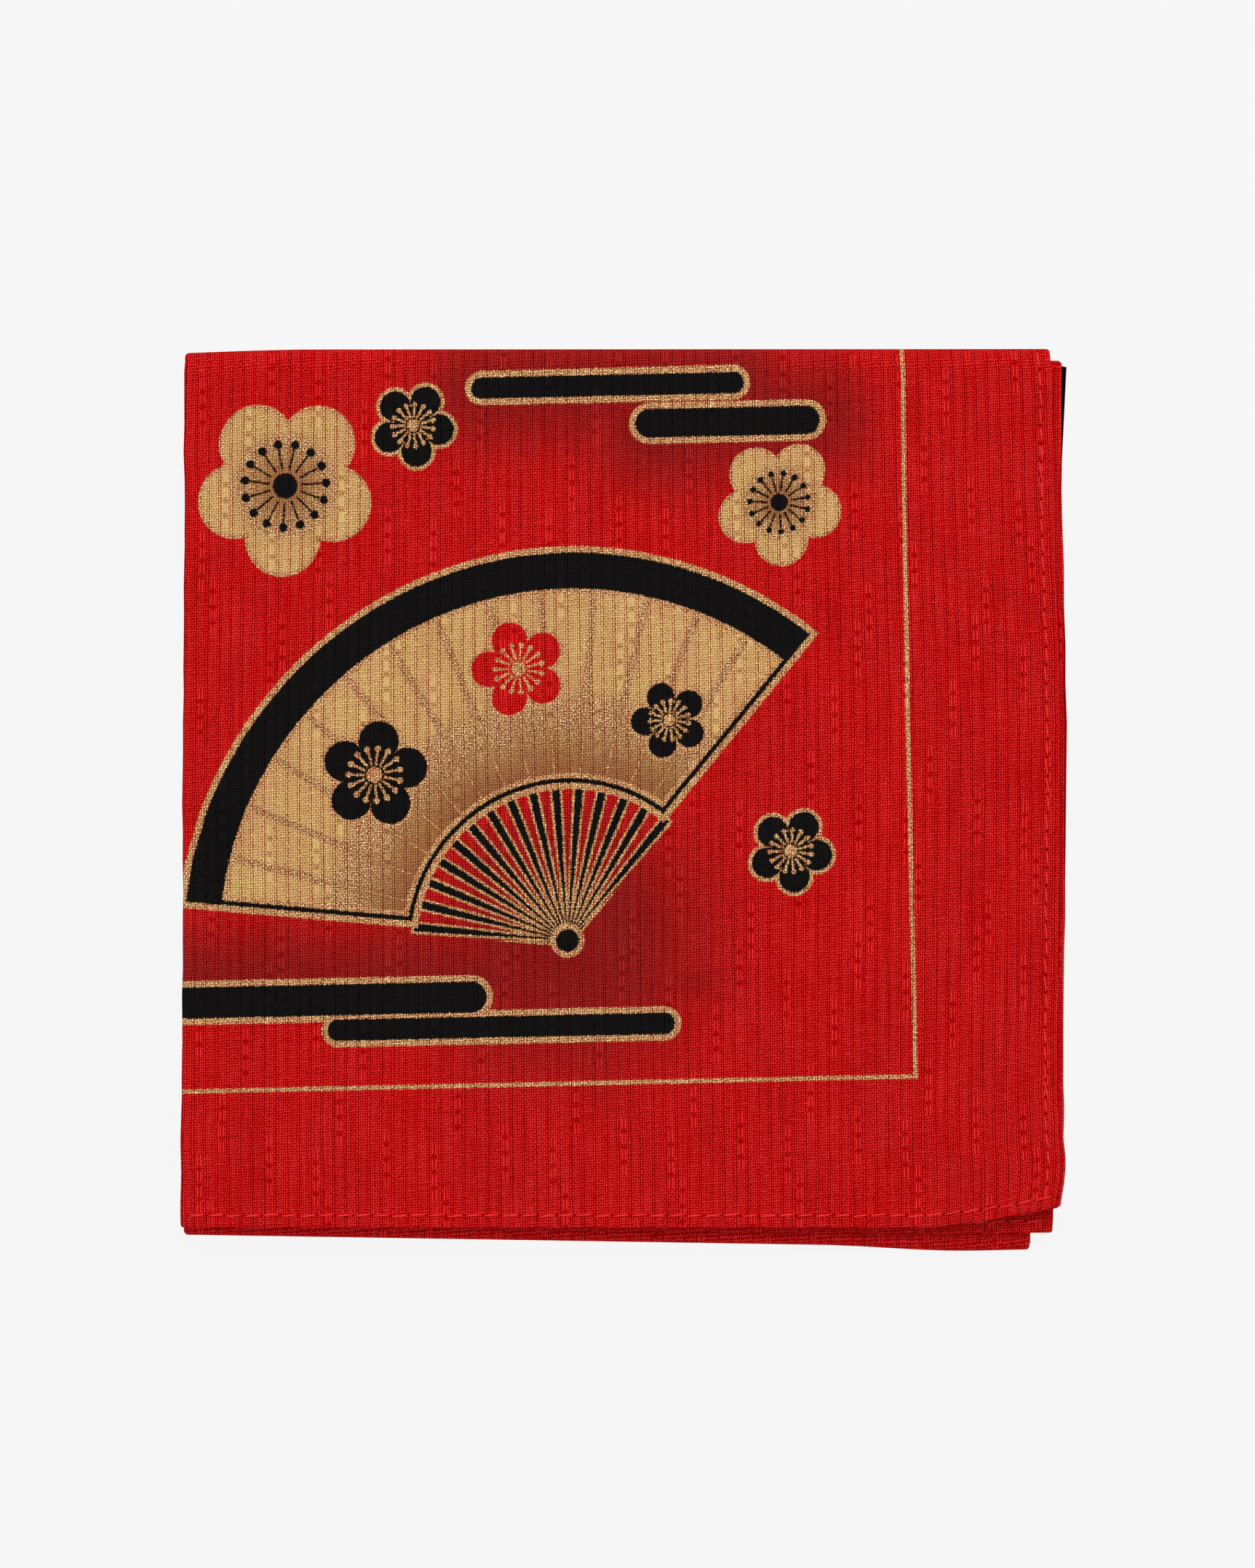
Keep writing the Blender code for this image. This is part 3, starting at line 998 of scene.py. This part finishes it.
thread_bm = bmesh.new()
thread_bm.loops.layers.uv.new("UVMap")
for seam in SEAMS:
    sew(thread_bm, seam)
bmesh.ops.recalc_face_normals(thread_bm, faces=thread_bm.faces[:])
stitch_mesh = bpy.data.meshes.new("hem_stitches")
thread_bm.to_mesh(stitch_mesh)
thread_bm.free()
stitch_mesh.shade_smooth()
for vert in stitch_mesh.vertices:
    vert.co.x -= centre[0]
    vert.co.y -= centre[1]
stitches = bpy.data.objects.new("hem_stitches", stitch_mesh)
bpy.context.collection.objects.link(stitches)
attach(stitches, "root")

# The thread's own finish: red cotton twisted from two yarns, with a shaded groove between them.
thread = bpy.data.materials.new("sewing_thread")
thread.use_nodes = True
nodes = thread.node_tree.nodes
links = thread.node_tree.links
THREAD_RED = (0.96, 0.045, 0.045, 1)
THREAD_SHADE = (0.74, 0.02, 0.02, 1)
THREAD_TURNS = 9
YARNS = 2
GROOVE_FROM = (0.2, -0.9)
THREAD_ROUGH = 0.7
THREAD_GLOSS = 0.05
THREAD_RELIEF = 0.02 * MM
thread_uv = nodes.new("ShaderNodeUVMap")
thread_uv.uv_map = "UVMap"
round_thread, along_thread, _ = parts(Reading(thread_uv.outputs["UV"]))
twist = maths("SINE", (along_thread * THREAD_TURNS + round_thread * YARNS) * TURN)
shader = nodes["Principled BSDF"]
wire(shader.inputs["Base Color"], blend(ramp(twist, *GROOVE_FROM), THREAD_RED, THREAD_SHADE))
shader.inputs["Roughness"].default_value = THREAD_ROUGH
shader.inputs["Specular IOR Level"].default_value = THREAD_GLOSS
bump = nodes.new("ShaderNodeBump")
bump.inputs["Distance"].default_value = THREAD_RELIEF
wire(bump.inputs["Height"], twist)
links.new(bump.outputs["Normal"], shader.inputs["Normal"])
stitch_mesh.materials.append(thread)

# ---------------------------------------------------------------------------------------------
# The floor, the light and the camera. The packet lies on a pale light table that glows evenly,
# in a bright soft room, with a broad lamp beyond its head. The camera looks straight down on it
# from far off.
FLOOR_SIDE = 40.0
FLOOR_GLOW = 0.897
FLOOR_RETURN = 0.03
ROOM_GLOW = 0.7
LAMP_SIDE = 1.0
LAMP_WATTS = 16
LAMP_PLACE = (0.1, 1.0, 1.4)
floor_mesh = bpy.data.meshes.new("floor")
floor_bm = bmesh.new()
bmesh.ops.create_grid(floor_bm, x_segments=1, y_segments=1, size=FLOOR_SIDE / 2)
floor_bm.to_mesh(floor_mesh)
floor_bm.free()
floor = bpy.data.objects.new("floor", floor_mesh)
bpy.context.collection.objects.link(floor)
paper = bpy.data.materials.new("pale_paper")
paper.use_nodes = True
paper_shader = paper.node_tree.nodes["Principled BSDF"]
paper_shader.inputs["Base Color"].default_value = (FLOOR_RETURN, FLOOR_RETURN, FLOOR_RETURN, 1)
paper_shader.inputs["Roughness"].default_value = 1.0
paper_shader.inputs["Specular IOR Level"].default_value = 0.0
paper_shader.inputs["Emission Color"].default_value = (1, 1, 1, 1)
paper_shader.inputs["Emission Strength"].default_value = FLOOR_GLOW
floor_mesh.materials.append(paper)

world = bpy.data.worlds.new("studio")
bpy.context.scene.world = world
world.use_nodes = True
room = world.node_tree.nodes["Background"]
room.inputs["Color"].default_value = (1, 1, 1, 1)
room.inputs["Strength"].default_value = ROOM_GLOW

lamp_data = bpy.data.lights.new("softbox", "AREA")
lamp_data.shape = "SQUARE"
lamp_data.size = LAMP_SIDE
lamp_data.energy = LAMP_WATTS
lamp = bpy.data.objects.new("softbox", lamp_data)
lamp.location = LAMP_PLACE
lamp.rotation_euler = lamp.location.to_track_quat("Z", "Y").to_euler()
bpy.context.collection.objects.link(lamp)

# The photo's size and the packet's middle in it are in pixels. The size of a pixel holds at
# MEASURED_HEIGHT, a share of the packet's height.
IMAGE = (1725, 2156)
MM_PER_PIXEL = 0.1197
PACKET_CENTRE = (857.25, 1100.0)
MEASURED_HEIGHT = 0.8
LENS = 500.0
SENSOR = 36.0
CAMERA_CLIP = 100.0
camera_data = bpy.data.cameras.new("camera")
camera_data.lens = LENS
camera_data.sensor_width = SENSOR
camera = bpy.data.objects.new("camera", camera_data)
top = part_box("cloth")[1][2]
distance = IMAGE[1] * MM_PER_PIXEL * MM * LENS / SENSOR
camera.location = (
    (IMAGE[0] / 2 - PACKET_CENTRE[0]) * MM_PER_PIXEL * MM,
    (PACKET_CENTRE[1] - IMAGE[1] / 2) * MM_PER_PIXEL * MM,
    distance + top * MEASURED_HEIGHT,
)
camera_data.clip_end = CAMERA_CLIP
bpy.context.collection.objects.link(camera)
bpy.context.scene.camera = camera
bpy.context.scene.view_settings.view_transform = "Standard"
